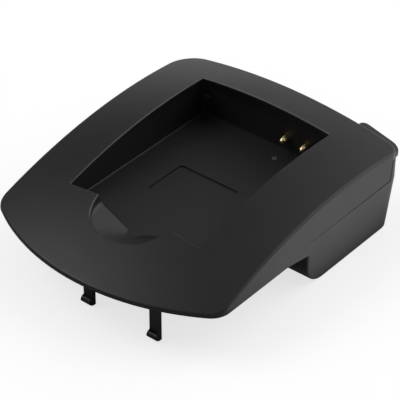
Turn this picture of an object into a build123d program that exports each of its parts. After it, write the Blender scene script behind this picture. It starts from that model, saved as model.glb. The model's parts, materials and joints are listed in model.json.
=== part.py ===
"""Clip-on charging cradle for a flat camera battery.

A crowned wedge of black plastic holds the battery in a pocket, over a housing with the contacts.
Millimetres, +Z up, with the origin on the table under the middle of the whole cradle.
"""
import os
from math import sqrt, tan, radians

from build123d import *

os.makedirs("parts", exist_ok=True)

# Plate, seen from above at the level of its rim
plate_width = 64.0
front_margin = 19.4
rear_margin = 10.2
front_corner_radius = 5.0
rear_left_radius = 7.0
rear_right_radius = 4.0
side_draft = 4.5

# Heights above the table
rim_height = 11.2
floor_height = 12.95
parting_height = 12.9

# Crown of the plate: a cap of a large ball, whose front edge is level all the way across
front_lip = 0.85
crown_rise = 12.1
crown_setback = 9.7
edge_round = 0.7
edge_round_share = 0.85
skin = 1.7

# Battery pocket, with its finger scoop and the recessed panel on its floor
pocket_width = 36.5
pocket_length = 45.85
pocket_wall = 1.6
pocket_corner_radius = 0.5
pocket_rim_round = 0.3
pocket_floor_round = 0.35
scoop_radius = 9.3
scoop_flat_radius = 1.6
scoop_dish_height = 3.7
scoop_bend = 1.4
scoop_flare = 0.3
panel_width = 17.0
panel_length = 12.0
panel_setback = 19.65
panel_depth = 0.3
panel_corner_radius = 1.0

# Key peg in the pocket's back left corner
peg_width = 3.2
peg_height = 2.6
peg_reach = 1.3
peg_inset = 1.0
peg_above_floor = 4.5
peg_round = 0.5

# Snap hooks under the front edge
hook_width = 2.5
hook_pitch = 18.8
hook_offset = 7.2
hook_setback = 6.45
hook_thickness = 1.1
hook_nose_reach = 1.05
hook_nose_height = 1.2
hook_lead_bulge = 0.25
hook_catch_height = 2.3

# Lift tab round the right rear corner
tab_left = 19.5
tab_side_inset = 1.0
tab_overhang = 1.2
tab_left_radius = 1.6
tab_right_radius = 3.4
tab_slope = 14.5
tab_edge_round = 0.4
tab_step = 0.06

# Lower housing
housing_wall = 1.6
housing_floor = 1.8
housing_draft = 2.8
housing_front_setback = 24.2
housing_front_lean = 4.0
housing_rear_foot = 7.65
housing_rear_lean = 8.3
housing_toe_radius = 6.0
housing_heel = 3.6
housing_heel_bulge = 0.75
housing_edge_round = 0.5
skirt_toe_length = 7.0
skirt_toe_drop = 1.2
rear_joint_setback = 5.15
rear_joint_lean = 15.0
seam = 0.25
fit_gap = 0.05

# Screws that join the two mouldings
screw_spacing = 50.0
screw_setback = 9.0
screw_shank_diameter = 2.5
screw_head_diameter = 4.6
screw_head_height = 1.7
screw_length = 9.0
screw_slot_width = 0.8
screw_slot_depth = 0.8
screw_play = 0.1
screw_head_recess = 2.3
screw_boss_wall = 1.5

# Spring contacts in the pocket's back wall
contact_pitch = 5.65
contact_offset = 9.2
contact_above_floor = 3.45
plunger_diameter = 1.9
plunger_reach = 2.3
plunger_travel = 1.2
shoulder_diameter = 2.3
shoulder_length = 1.0
barrel_diameter = 2.8
barrel_recess = 0.2
barrel_mouth_length = 0.6
barrel_end_wall = 0.6
collar_diameter = 3.8
collar_length = 0.6
running_clearance = 0.05
spring_wire = 0.24
spring_turns = 5
spring_wire_flats = 4
spring_reserve = 1.2

# Contact board, its cradle and the strips down to the charging base
board_thickness = 1.2
board_setback = 4.0
board_left = -11.0
board_right = 19.0
board_foot = 4.6
board_top = 18.6
cradle_width = 3.0
cradle_lip = 1.4
cradle_height = 9.0
terminal_pitch = 12.0
terminal_width = 4.0
terminal_thickness = 0.5
terminal_pad_length = 14.0
terminal_leg_top = 11.0
terminal_bend = 0.8
window_width = 3.4
window_length = 8.0
chip_width = 2.0
chip_depth = 0.6
chip_height = 1.25
chip_inset = 5.0
chip_level = 13.0

# Places that follow from the sizes above
plate_depth = front_margin + pocket_length + rear_margin
plate_front = -(plate_depth + tab_overhang) / 2
plate_back = plate_front + plate_depth
pocket_front = plate_front + front_margin
pocket_back = pocket_front + pocket_length
pocket_middle = (pocket_front + pocket_back) / 2
tub_half_width = pocket_width / 2 + pocket_wall
tab_right = plate_width / 2 - tab_side_inset
crown_height = rim_height + front_lip + crown_rise
front_radius = pocket_back - crown_setback - plate_front
crown_radius = (front_radius**2 + crown_rise**2) / (2 * crown_rise)
crown_centre = Vector(0, pocket_back - crown_setback, crown_height - crown_radius)
housing_width = plate_width - 2 * (parting_height - rim_height) * tan(radians(side_draft))
housing_front_foot = pocket_back - housing_front_setback
housing_front_top = housing_front_foot - parting_height * tan(radians(housing_front_lean))
joint_y = plate_back - rear_joint_setback
skirt_end = housing_front_top - fit_gap
skirt_foot = rim_height - skirt_toe_drop
contact_z = floor_height + contact_above_floor
contact_xs = [contact_offset - contact_pitch / 2, contact_offset + contact_pitch / 2]
spring_length = spring_turns * spring_wire + plunger_travel + spring_reserve
board_front = pocket_back + board_setback
screw_y = pocket_back - screw_setback
screw_spots = [(-screw_spacing / 2, screw_y), (screw_spacing / 2, screw_y)]
boss_radius = screw_shank_diameter / 2 + screw_play + screw_boss_wall
well_top = screw_head_recess + housing_floor


def crown_level(x, y):
    """Height of the crown above the table at one place of the plan."""
    return crown_centre.Z + sqrt(crown_radius**2 - x**2 - (y - crown_centre.Y) ** 2)


def joint_at(level, gap):
    """Where the leaning joint of the plate's sides with the housing's rear wall is at one level."""
    return (joint_y + gap + (level - parting_height) * tan(radians(rear_joint_lean)), level)


def crown_ball(inset):
    """Everything under the crown, or under a surface that lies inset below it.

    The ball's poles are turned to the left and right, so that no pole or seam lies on the plate.
    """
    with BuildPart() as ball:
        with Locations(crown_centre):
            Sphere(crown_radius - inset, rotation=(0, 90, 0))
    return ball.part


def crowned_plate(inset):
    """The plate's outer form, or its hollow when drawn in by a wall's thickness."""
    half = plate_width / 2
    with BuildPart() as form:
        with BuildSketch(Plane.XY.offset(rim_height)) as outline:
            with BuildLine():
                corner = crown_centre.Y - sqrt(front_radius**2 - half**2)
                front = ThreePointArc((-half, corner), (0, plate_front), (half, corner))
                Polyline(front @ 1, (half, plate_back), (-half, plate_back), front @ 0)
            make_face()
            fillet(outline.vertices().group_by(Axis.Y)[0], front_corner_radius)
            fillet(outline.vertices().group_by(Axis.Y)[-1].sort_by(Axis.X)[0], rear_left_radius)
            fillet(outline.vertices().group_by(Axis.Y)[-1].sort_by(Axis.X)[-1], rear_right_radius)
            if inset > 0:
                offset(amount=-inset, mode=Mode.REPLACE)
        extrude(amount=crown_height - rim_height, taper=side_draft)
        add(crown_ball(inset), mode=Mode.INTERSECT)
    return form.part


def scoop_dish(wall):
    """The finger scoop's dish, or the dish with a wall round it that the hollow leaves standing."""
    foot = floor_height - wall
    brim = foot + scoop_dish_height
    mouth = scoop_radius + wall + scoop_flare * (crown_height - brim)
    with BuildPart() as dish:
        with BuildSketch(Plane.XZ.offset(-pocket_front)):
            with BuildLine() as section:
                Polyline(
                    (0, foot),
                    (scoop_flat_radius, foot),
                    (scoop_radius + wall, brim),
                    (mouth, crown_height),
                    (0, crown_height),
                    close=True,
                )
                fillet(section.vertices().sort_by_distance((scoop_radius + wall, brim))[0], scoop_bend)
            make_face()
        revolve(axis=Axis((0, pocket_front, 0), (0, 0, 1)))
    return dish.part


# Hollow under the plate: the pocket's tub, the scoop and a cross rib are left standing in it
with BuildPart() as hollow:
    add(crowned_plate(skin))
    with BuildSketch(Plane.XY.offset(rim_height)):
        with Locations((0, pocket_middle)):
            Rectangle(2 * tub_half_width, pocket_length + 2 * pocket_wall)
        with Locations((0, housing_front_top + housing_wall / 2)):
            Rectangle(plate_width, housing_wall)
    extrude(amount=crown_height, mode=Mode.SUBTRACT)
    add(scoop_dish(pocket_wall), mode=Mode.SUBTRACT)

# Opening at the back, under the plate's skin, for the housing's rear wall
with BuildPart() as rear_opening:
    with BuildSketch(Plane.YZ):
        with BuildLine():
            Polyline(
                joint_at(rim_height, 0),
                (joint_y + plate_depth, rim_height),
                (joint_y + plate_depth, crown_height),
                joint_at(crown_height, 0),
                close=True,
            )
        make_face()
    extrude(amount=plate_width, both=True)
    add(crown_ball(skin), mode=Mode.INTERSECT)

# Space that the battery lies in, with a soft edge round its floor
with BuildPart() as pocket_space:
    with BuildSketch(Plane.XY.offset(floor_height)):
        with Locations((0, pocket_middle)):
            RectangleRounded(pocket_width, pocket_length, pocket_corner_radius)
    extrude(amount=crown_height)
    fillet(pocket_space.faces().sort_by(Axis.Z)[0].edges(), pocket_floor_round)

# Snap hooks: a side profile drawn once and repeated, cut off inside the plate's skin
hook_face = plate_front + hook_setback
with BuildPart() as hooks:
    for hook_x in (hook_offset - hook_pitch / 2, hook_offset + hook_pitch / 2):
        with BuildSketch(Plane.YZ.offset(hook_x)):
            with BuildLine():
                catch = Line((hook_face, crown_height), (hook_face, hook_catch_height))
                nose_tip = (hook_face - hook_nose_reach, hook_nose_height)
                nose = TangentArc(catch @ 1, nose_tip, tangent=(-1, 0))
                toe = (hook_face + hook_thickness / 2, 0)
                lead_in = SagittaArc(nose @ 1, toe, -hook_lead_bulge)
                Polyline(
                    lead_in @ 1,
                    (hook_face + hook_thickness, 0),
                    (hook_face + hook_thickness, crown_height),
                    catch @ 0,
                )
            make_face()
        extrude(amount=hook_width / 2, both=True)
    add(crown_ball(skin / 2), mode=Mode.INTERSECT)

# Lift tab: a flat ear that leaves the crown at its left end and falls away to the right
with BuildPart() as lift_tab:
    with BuildSketch(Plane.XY.offset(rim_height)) as tab_outline:
        with Locations((tab_left, plate_back + tab_overhang)):
            Rectangle(
                tab_right - tab_left,
                tab_overhang + rear_right_radius,
                align=(Align.MIN, Align.MAX),
            )
        fillet(tab_outline.vertices().group_by(Axis.Y)[-1].sort_by(Axis.X)[0], tab_left_radius)
        fillet(tab_outline.vertices().group_by(Axis.Y)[-1].sort_by(Axis.X)[-1], tab_right_radius)
    extrude(amount=crown_height)
    with BuildSketch(Plane.XZ.offset(-plate_back)):
        with BuildLine():
            tab_top = crown_level(tab_left, plate_back) - tab_step
            tab_fall = (tab_right - tab_left) * tan(radians(tab_slope))
            Polyline(
                (tab_left, 0),
                (tab_left, tab_top),
                (tab_right, tab_top - tab_fall),
                (tab_right, 0),
                close=True,
            )
        make_face()
    rearward = (0, crown_radius, crown_centre.Y - plate_back)
    extrude(amount=plate_depth, dir=rearward, both=True, mode=Mode.INTERSECT)
    fillet(lift_tab.faces().sort_by(Axis.Z)[-1].edges().sort_by(Axis.Y)[1:], tab_edge_round)
    add(crown_ball(skin), mode=Mode.SUBTRACT)

with BuildPart() as top_cover:
    add(crowned_plate(0))
    thin_edge = edge_round_share * front_lip
    fillet(top_cover.faces().sort_by(Axis.Z)[-1].edges(), min(edge_round, thin_edge))
    add(lift_tab.part)
    add(hollow.part, mode=Mode.SUBTRACT)
    add(rear_opening.part, mode=Mode.SUBTRACT)
    # The skirt's lower edge drops to meet the housing, and over it stops at a seam that widens rearwards
    for side in (-1, 1):
        with BuildSketch(Plane.YZ.offset(side * plate_width / 2)):
            with BuildLine():
                Polyline(
                    (skirt_end - skirt_toe_length, rim_height),
                    (skirt_end, skirt_foot),
                    (skirt_end, rim_height),
                    close=True,
                )
            make_face()
        extrude(amount=-side * skin)
        with BuildSketch(Plane.YZ.offset(side * plate_width / 2)):
            with BuildLine():
                Polyline(
                    (skirt_end, skirt_foot),
                    (skirt_end, parting_height + fit_gap),
                    (plate_back, parting_height + seam),
                    (plate_back, skirt_foot),
                    close=True,
                )
            make_face()
        extrude(amount=side * (tub_half_width - plate_width / 2), mode=Mode.SUBTRACT)
    # Posts that take the screws, hanging from the skin
    with BuildSketch(Plane.XY.offset(well_top)):
        with Locations(*screw_spots):
            Circle(boss_radius)
    extrude(until=Until.NEXT)
    with BuildSketch(Plane.XY.offset(well_top)):
        with Locations(*screw_spots):
            Circle(screw_shank_diameter / 2 + screw_play)
    extrude(amount=screw_length, mode=Mode.SUBTRACT)
    add(hooks.part)
    # Battery pocket, scoop and floor panel
    add(pocket_space.part, mode=Mode.SUBTRACT)
    add(scoop_dish(0), mode=Mode.SUBTRACT)
    with BuildSketch(Plane.XY.offset(floor_height)):
        with Locations((0, pocket_back - panel_setback - panel_length / 2)):
            RectangleRounded(panel_width, panel_length, panel_corner_radius)
    extrude(amount=-panel_depth, mode=Mode.SUBTRACT)
    fillet(top_cover.faces().sort_by(Axis.Z)[-1].inner_wires()[0].edges(), pocket_rim_round)
    # Key peg on the back wall
    with BuildSketch(Plane.XZ.offset(-pocket_back)):
        with Locations((-pocket_width / 2 + peg_inset, floor_height + peg_above_floor)):
            RectangleRounded(peg_width, peg_height, peg_round)
    extrude(amount=peg_reach)
    # Holes for the contact barrels
    with BuildSketch(Plane.XZ.offset(-pocket_back)):
        for contact_x in contact_xs:
            with Locations((contact_x, contact_z)):
                Circle(barrel_diameter / 2 + running_clearance)
    extrude(amount=-pocket_wall, mode=Mode.SUBTRACT)
top_cover.part.label = "top_cover"
export_step(top_cover.part, "parts/top_cover.step")


def housing_plan(level, wall):
    """The housing in plan at one level: it draws in above and below the parting line."""
    below = max(parting_height - level, 0) * tan(radians(housing_draft))
    above = max(level - parting_height, 0) * tan(radians(side_draft))
    lean = level * tan(radians(housing_rear_lean))
    with BuildSketch(Plane.XY.offset(level)) as plan:
        with Locations((0, pocket_back + housing_rear_foot + lean)):
            Rectangle(housing_width - 2 * (below + above), plate_depth, align=(Align.CENTER, Align.MAX))
        fillet(plan.vertices().group_by(Axis.Y)[-1].sort_by(Axis.X)[0], rear_left_radius)
        fillet(plan.vertices().group_by(Axis.Y)[-1].sort_by(Axis.X)[-1], rear_right_radius)
        if wall > 0:
            offset(amount=-wall, mode=Mode.REPLACE)
    return plan.sketch


def housing_form(wall, floor):
    """The housing's outer form, or its hollow when drawn in by the walls and the floor."""
    front_slope = tan(radians(housing_front_lean))
    rear_slope = tan(radians(housing_rear_lean))
    front = housing_front_foot + wall
    rear = pocket_back + housing_rear_foot - wall
    with BuildPart() as form:
        for foot, top in ((0, parting_height), (parting_height, crown_height)):
            loft([housing_plan(foot, wall), housing_plan(top, wall)], ruled=True)
        with BuildSketch(Plane.YZ) as side:
            with BuildLine():
                leg = housing_heel - wall
                heel = SagittaArc(
                    (rear + floor * rear_slope - leg, floor),
                    (rear + (floor + leg) * rear_slope, floor + leg),
                    -housing_heel_bulge * leg / housing_heel,
                )
                Polyline(
                    heel @ 1,
                    (rear + crown_height * rear_slope, crown_height),
                    (front - crown_height * front_slope, crown_height),
                    (front - floor * front_slope, floor),
                    heel @ 0,
                )
            make_face()
            fillet(side.vertices().group_by(Axis.Y)[0].sort_by(Axis.X)[0], housing_toe_radius - wall)
        extrude(amount=housing_width, both=True, mode=Mode.INTERSECT)
    return form.part


# Square front corners where the plate's skirt butts against them
with BuildPart() as square_corners:
    add(housing_form(0, 0))
    with BuildSketch(Plane.XY.offset(skirt_foot)):
        with Locations((0, housing_front_foot)):
            Rectangle(plate_width, 2 * housing_wall)
    extrude(amount=parting_height - skirt_foot, mode=Mode.INTERSECT)

with BuildPart() as lower_housing:
    add(housing_form(0, 0))
    # Soft edges down the front corners and along the foot of each side
    for side in (0, -1):
        side_edges = lower_housing.faces().sort_by(Axis.X)[side].edges()
        fillet(side_edges.sort_by(Axis.Z)[:-1].sort_by(Axis.Y)[:-1], housing_edge_round)
    add(square_corners.part)
    add(housing_form(housing_wall, housing_floor), mode=Mode.SUBTRACT)
    # Sides stop at the parting line, the front under the pocket's floor, the rear under the plate's skin
    with BuildSketch(Plane.YZ):
        with BuildLine():
            Polyline(
                joint_at(parting_height, seam),
                joint_at(crown_height, seam),
                (plate_front, crown_height),
                (plate_front, parting_height),
                close=True,
            )
        make_face()
    extrude(amount=plate_width, both=True, mode=Mode.SUBTRACT)
    with BuildSketch(Plane.XY.offset(rim_height)):
        with Locations((0, joint_y + seam)):
            Rectangle(2 * (tub_half_width + seam), plate_depth, align=(Align.CENTER, Align.MAX))
    extrude(amount=crown_height, mode=Mode.SUBTRACT)
    add(crown_ball(skin + seam), mode=Mode.INTERSECT)
    # Wells that the screws go up through
    with BuildSketch():
        with Locations(*screw_spots):
            Circle(screw_head_diameter / 2 + screw_play + screw_boss_wall)
    extrude(amount=well_top)
    with BuildSketch():
        with Locations(*screw_spots):
            Circle(screw_head_diameter / 2 + screw_play)
    extrude(amount=screw_head_recess, mode=Mode.SUBTRACT)
    with BuildSketch():
        with Locations(*screw_spots):
            Circle(screw_shank_diameter / 2 + screw_play)
    extrude(amount=well_top, mode=Mode.SUBTRACT)
    # Cradle that grips the contact board by its two ends
    with BuildSketch(Plane.XY.offset(housing_floor)):
        with Locations((board_left, board_front - cradle_lip), (board_right, board_front - cradle_lip)):
            Rectangle(cradle_width, board_thickness + 2 * cradle_lip, align=(Align.CENTER, Align.MIN))
    extrude(amount=cradle_height - housing_floor)
    with BuildSketch(Plane.XY.offset(board_foot)):
        with Locations(((board_left + board_right) / 2, board_front - running_clearance)):
            Rectangle(
                board_right - board_left + 2 * running_clearance,
                board_thickness + 2 * running_clearance,
                align=(Align.CENTER, Align.MIN),
            )
    extrude(amount=cradle_height, mode=Mode.SUBTRACT)
    # Windows under the strips that meet the charging base
    with BuildSketch():
        with Locations((0, board_front - terminal_pad_length / 2)):
            with GridLocations(terminal_pitch, 0, 2, 1):
                Rectangle(window_width, window_length)
    extrude(amount=housing_floor, mode=Mode.SUBTRACT)
lower_housing.part.label = "lower_housing"
export_step(lower_housing.part, "parts/lower_housing.step")

with BuildPart() as housing_screws:
    with BuildSketch(Plane.XY.offset(screw_head_recess)):
        with Locations(*screw_spots):
            Circle(screw_head_diameter / 2)
    extrude(amount=-screw_head_height)
    with BuildSketch(Plane.XY.offset(screw_head_recess)):
        with Locations(*screw_spots):
            Circle(screw_shank_diameter / 2)
    extrude(amount=screw_length)
    with BuildSketch(Plane.XY.offset(screw_head_recess - screw_head_height)):
        with Locations(*screw_spots):
            Rectangle(screw_head_diameter / 2, screw_slot_width)
            Rectangle(screw_slot_width, screw_head_diameter / 2)
    extrude(amount=screw_slot_depth, mode=Mode.SUBTRACT)
housing_screws.part.label = "housing_screws"
export_step(housing_screws.part, "parts/housing_screws.step")

with BuildPart() as contact_board:
    with BuildSketch(Plane.XZ.offset(-board_front)):
        with Locations(((board_left + board_right) / 2, board_foot)):
            Rectangle(board_right - board_left, board_top - board_foot, align=(Align.CENTER, Align.MIN))
        for contact_x in contact_xs:
            with Locations((contact_x, contact_z)):
                Circle(barrel_diameter / 2 + running_clearance, mode=Mode.SUBTRACT)
    extrude(amount=-board_thickness)
contact_board.part.label = "contact_board"
export_step(contact_board.part, "parts/contact_board.step")

with BuildPart() as coding_resistor:
    with BuildSketch(Plane.XZ.offset(-board_front)):
        with Locations((board_left + chip_inset, chip_level)):
            Rectangle(chip_width, chip_height)
    extrude(amount=chip_depth)
coding_resistor.part.label = "coding_resistor"
export_step(coding_resistor.part, "parts/coding_resistor.step")

# Spring contacts: a sleeve through the pocket's back wall, a sliding pin and a coil spring
barrel_front = pocket_back + barrel_recess
mouth_back = barrel_front + barrel_mouth_length
shoulder_back = mouth_back + shoulder_length
bore_end = shoulder_back + spring_length
wall_back = pocket_back + pocket_wall
bore_radius = shoulder_diameter / 2 + running_clearance
for contact_x, pole in zip(contact_xs, ("positive", "negative")):
    pin_plane = Plane((contact_x, 0, contact_z))
    pin_axis = Axis((contact_x, 0, contact_z), (0, 1, 0))

    with BuildPart() as contact_barrel:
        with BuildSketch(pin_plane):
            with BuildLine():
                Polyline(
                    (plunger_diameter / 2 + running_clearance, barrel_front),
                    (barrel_diameter / 2, barrel_front),
                    (barrel_diameter / 2, wall_back),
                    (collar_diameter / 2, wall_back),
                    (collar_diameter / 2, wall_back + collar_length),
                    (barrel_diameter / 2, wall_back + collar_length),
                    (barrel_diameter / 2, bore_end + barrel_end_wall),
                    (0, bore_end + barrel_end_wall),
                    (0, bore_end),
                    (bore_radius, bore_end),
                    (bore_radius, mouth_back),
                    (plunger_diameter / 2 + running_clearance, mouth_back),
                    close=True,
                )
            make_face()
        revolve(axis=pin_axis)
    contact_barrel.part.label = f"contact_barrel_{pole}"
    export_step(contact_barrel.part, f"parts/contact_barrel_{pole}.step")

    with BuildPart() as contact_plunger:
        with BuildSketch(pin_plane):
            with BuildLine():
                tip_y = pocket_back - plunger_reach
                tip_radius = plunger_diameter / 2
                dome = RadiusArc((0, tip_y), (tip_radius, tip_y + tip_radius), -tip_radius)
                Polyline(
                    dome @ 1,
                    (tip_radius, mouth_back + running_clearance),
                    (shoulder_diameter / 2, mouth_back + running_clearance),
                    (shoulder_diameter / 2, shoulder_back),
                    (0, shoulder_back),
                    dome @ 0,
                )
            make_face()
        revolve(axis=pin_axis)
    contact_plunger.part.label = f"contact_plunger_{pole}"
    export_step(contact_plunger.part, f"parts/contact_plunger_{pole}.step")

    coil_length = spring_length - spring_wire - 2 * running_clearance
    with BuildPart() as contact_spring:
        with BuildLine() as coil:
            Helix(
                pitch=coil_length / spring_turns,
                height=coil_length,
                radius=shoulder_diameter / 2 - spring_wire,
                center=(contact_x, shoulder_back + spring_wire / 2 + running_clearance, contact_z),
                direction=(0, 1, 0),
            )
        with BuildSketch(Plane(origin=coil.line @ 0, z_dir=coil.line % 0)):
            RegularPolygon(spring_wire / 2, spring_wire_flats)
        sweep(path=coil.line, is_frenet=True)
    contact_spring.part.label = f"contact_spring_{pole}"
    export_step(contact_spring.part, f"parts/contact_spring_{pole}.step")

# Strips that lie over the windows and stand against the board, one for each pole
for side, pole in ((1, "positive"), (-1, "negative")):
    middle_y = board_front - terminal_thickness / 2
    middle_z = housing_floor + terminal_thickness / 2
    with BuildPart() as base_terminal:
        with BuildSketch(Plane.YZ.offset(side * terminal_pitch / 2)):
            with BuildLine():
                FilletPolyline(
                    (board_front - terminal_pad_length, middle_z),
                    (middle_y, middle_z),
                    (middle_y, terminal_leg_top),
                    radius=terminal_bend + terminal_thickness / 2,
                )
            trace(line_width=terminal_thickness)
        extrude(amount=terminal_width / 2, both=True)
    base_terminal.part.label = f"base_terminal_{pole}"
    export_step(base_terminal.part, f"parts/base_terminal_{pole}.step")
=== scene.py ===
# %% [markdown]
# # A clip-on charging cradle for a camera battery
#
# The cradle is a wedge-shaped black moulding. A flat camera battery is laid in its pocket and slid back on
# to two gilt spring pins, and the whole cradle clips on a charging base. This lesson dresses the finished
# CAD model for a picture: it sets up a small photo studio, gives each piece its finish, and adds the
# details that are too fine for CAD, such as screw threads, spring coils and moulding marks.
#
# The CAD model is loaded first.

# %% Load the CAD model
import json
import math

import bmesh
import bpy
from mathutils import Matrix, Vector


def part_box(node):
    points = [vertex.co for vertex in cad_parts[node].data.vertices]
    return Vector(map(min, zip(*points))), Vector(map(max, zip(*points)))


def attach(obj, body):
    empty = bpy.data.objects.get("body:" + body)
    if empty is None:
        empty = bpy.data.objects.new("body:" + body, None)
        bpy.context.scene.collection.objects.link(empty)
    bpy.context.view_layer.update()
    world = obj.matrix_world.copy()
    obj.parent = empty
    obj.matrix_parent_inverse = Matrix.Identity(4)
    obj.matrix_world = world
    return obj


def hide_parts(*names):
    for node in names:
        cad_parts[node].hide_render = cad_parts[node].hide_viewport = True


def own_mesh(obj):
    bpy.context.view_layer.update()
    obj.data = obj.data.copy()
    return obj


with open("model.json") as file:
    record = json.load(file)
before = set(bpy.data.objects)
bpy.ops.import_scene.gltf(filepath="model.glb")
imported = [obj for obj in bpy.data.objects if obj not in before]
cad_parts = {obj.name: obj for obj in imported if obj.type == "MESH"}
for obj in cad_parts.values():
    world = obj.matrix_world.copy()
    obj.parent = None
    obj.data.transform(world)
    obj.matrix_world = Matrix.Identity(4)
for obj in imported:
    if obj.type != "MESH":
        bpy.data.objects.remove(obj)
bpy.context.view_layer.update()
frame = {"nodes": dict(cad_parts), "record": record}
scene = bpy.context.scene
mm = 0.001
for name, node in frame["nodes"].items():
    print(name, len(node.data.polygons), "triangles")

# %% [markdown]
# ## The camera
#
# The picture was taken with a long lens from the front right, looking down on the pocket. A long lens keeps
# the cradle's sides nearly parallel. The place, the aim and the lens were found by laying the CAD model's
# corners over the same corners in the picture. A camera looks along its own -Z axis, so `to_track_quat`
# turns -Z to the aim and keeps Y upright.

# %% Camera
camera_place = Vector((0.2423, -0.2903, 0.2879))
camera_aim = Vector((0.0034, -0.0005, 0.0129))
camera_data = bpy.data.cameras.new("picture_camera")
camera_data.lens = 189
camera_data.sensor_width = 36
camera = bpy.data.objects.new("picture_camera", camera_data)
camera.location = camera_place
camera.rotation_euler = (camera_aim - camera_place).to_track_quat("-Z", "Y").to_euler()
scene.collection.objects.link(camera)
scene.camera = camera
scene.view_settings.view_transform = "Standard"
print("camera is", round((camera_aim - camera_place).length, 3), "m from the cradle")

# %% [markdown]
# ## Helpers for node trees
#
# The studio light, the finishes and the small parts are all node trees, so a few helpers save much typing.
# `add_node` makes one node: an input that is given a socket is linked to it, and any other value is set on
# the input itself. `add_math` and `add_vector` make the two kinds of node that do sums. `soft_inside` turns
# a distance from an edge into a mask. `new_tree` makes a node group with named inputs and outputs, which
# can then be placed in several materials with different values.

# %% Helpers for nodes
def add_node(tree, kind, inputs=None, **settings):
    """Add a node, set its properties, then link or set its inputs."""
    node = tree.nodes.new(kind)
    for key, value in settings.items():
        setattr(node, key, value)
    for key, value in (inputs or {}).items():
        if isinstance(value, bpy.types.NodeSocket):
            tree.links.new(value, node.inputs[key])
        else:
            node.inputs[key].default_value = value
    return node


def add_math(tree, operation, *values, clamp=False):
    """Add a Math node and return its result."""
    node = add_node(tree, "ShaderNodeMath", dict(enumerate(values)), operation=operation, use_clamp=clamp)
    return node.outputs[0]


def add_vector(tree, operation, *values):
    """Add a Vector Math node, and return its result, which is a number for some operations."""
    node = add_node(tree, "ShaderNodeVectorMath", dict(enumerate(values)), operation=operation)
    gives_number = operation in ("DOT_PRODUCT", "DISTANCE", "LENGTH")
    return node.outputs["Value" if gives_number else "Vector"]


def soft_inside(tree, beyond, edge):
    """A mask that falls from 1 to 0 where the distance beyond an edge grows through zero."""
    return add_math(tree, "SUBTRACT", 0.5, add_math(tree, "DIVIDE", beyond, edge), clamp=True)


def new_tree(name, kind, inputs, outputs):
    """Make a node group with sockets listed by type, and return it with its input and output nodes."""
    tree = bpy.data.node_groups.new(name, kind)
    for way, sockets in (("INPUT", inputs), ("OUTPUT", outputs)):
        for socket_type, names in sockets.items():
            for socket_name in names:
                tree.interface.new_socket(socket_name, in_out=way, socket_type="NodeSocket" + socket_type)
    return tree, add_node(tree, "NodeGroupInput").outputs, add_node(tree, "NodeGroupOutput")


print("helpers ready")

# %% [markdown]
# ## The studio light
#
# Black plastic shows almost no colour of its own: what the eye sees is the lamps mirrored in it, softly. So
# the shading of the picture is a matter of where the lamps are. Area lamps would do, but lamps that are
# part of the world cost nothing to render and leave no noise. Each lamp here is a soft round glow in one
# direction of the sky: `exp(spread * (cosine - 1))` is 1 at its middle and fades smoothly with the angle. A
# large spread value makes a small, sharp lamp.

# %% Soft lamp group
lamp_tree, lamp_in, lamp_out = new_tree(
    "soft_lamp",
    "ShaderNodeTree",
    inputs={"Vector": ("View", "Direction"), "Float": ("Spread", "Strength")},
    outputs={"Float": ("Light",)},
)
cosine = add_vector(lamp_tree, "DOT_PRODUCT", lamp_in["View"], lamp_in["Direction"])
falling = add_math(lamp_tree, "SUBTRACT", cosine, 1.0)
glow = add_math(lamp_tree, "EXPONENT", add_math(lamp_tree, "MULTIPLY", falling, lamp_in["Spread"]))
lamp_tree.links.new(add_math(lamp_tree, "MULTIPLY", glow, lamp_in["Strength"]), lamp_out.inputs["Light"])
print("lamp group with", len(lamp_tree.nodes), "nodes")

# %% [markdown]
# A large box of light stands to the left of the cradle and lights the crown. A low one behind it on the
# right brightens the right side, and a high one above that lights the right arm of the plate. The low lamp
# behind is the glow of the white backdrop. A weak lamp near the camera fills in the front sides.

# %% World with its lamps
lamps = (
    # name, degrees from +X to +Y, degrees above the floor, spread, strength
    ("left box", -151, 46, 18, 3.8),
    ("right rear box", 57, 20, 7, 1.8),
    ("high rear box", 62, 54, 10, 1.0),
    ("rear backdrop", 122, 8, 14, 1.15),
    ("front fill", -50, 28, 7, 0.45),
)
room_level = 0.02

world = bpy.data.worlds.new("studio")
scene.world = world
world.use_nodes = True
sky = world.node_tree
view_direction = add_node(sky, "ShaderNodeTexCoord").outputs["Generated"]
total = room_level
for lamp_name, azimuth, elevation, spread, strength in lamps:
    turn = math.radians(azimuth)
    rise = math.radians(elevation)
    direction = (math.cos(turn) * math.cos(rise), math.sin(turn) * math.cos(rise), math.sin(rise))
    lamp = add_node(
        sky,
        "ShaderNodeGroup",
        {"View": view_direction, "Direction": direction, "Spread": spread, "Strength": strength},
        node_tree=lamp_tree,
        label=lamp_name,
    )
    total = add_math(sky, "ADD", total, lamp.outputs["Light"])
sky.links.new(total, sky.nodes["Background"].inputs["Strength"])
sky.nodes["Background"].inputs["Color"].default_value = (1, 1, 1, 1)
print(len(lamps), "lamps in the world")

# %% [markdown]
# ## The floor
#
# The picture has a pure white background. A white floor under this light is only pale grey, so the floor
# also glows, but only for the camera and for the rays that make reflections. Diffuse rays don't see the
# glow, so it adds no light to matt surfaces. The camera sees the same glow everywhere. In reflections, the
# glow grows from the front to the rear, because the table in front was dark and the sweep behind was
# bright, and it is weak under the cradle, where the shadow lies. Seen from underneath, the floor is clear.

# %% Floor
floor_size = 20
floor_drop = 0.05 * mm
floor_white = 0.4
floor_glow = 0.72
sweep_front = -32 * mm
sweep_rear = 12 * mm
sweep_top = 1.3
shade_centre = (0, 8 * mm, 0)
shade_inner = (28 * mm, 24 * mm)
shade_outer = 40 * mm
shade_level = 0.1

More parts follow.
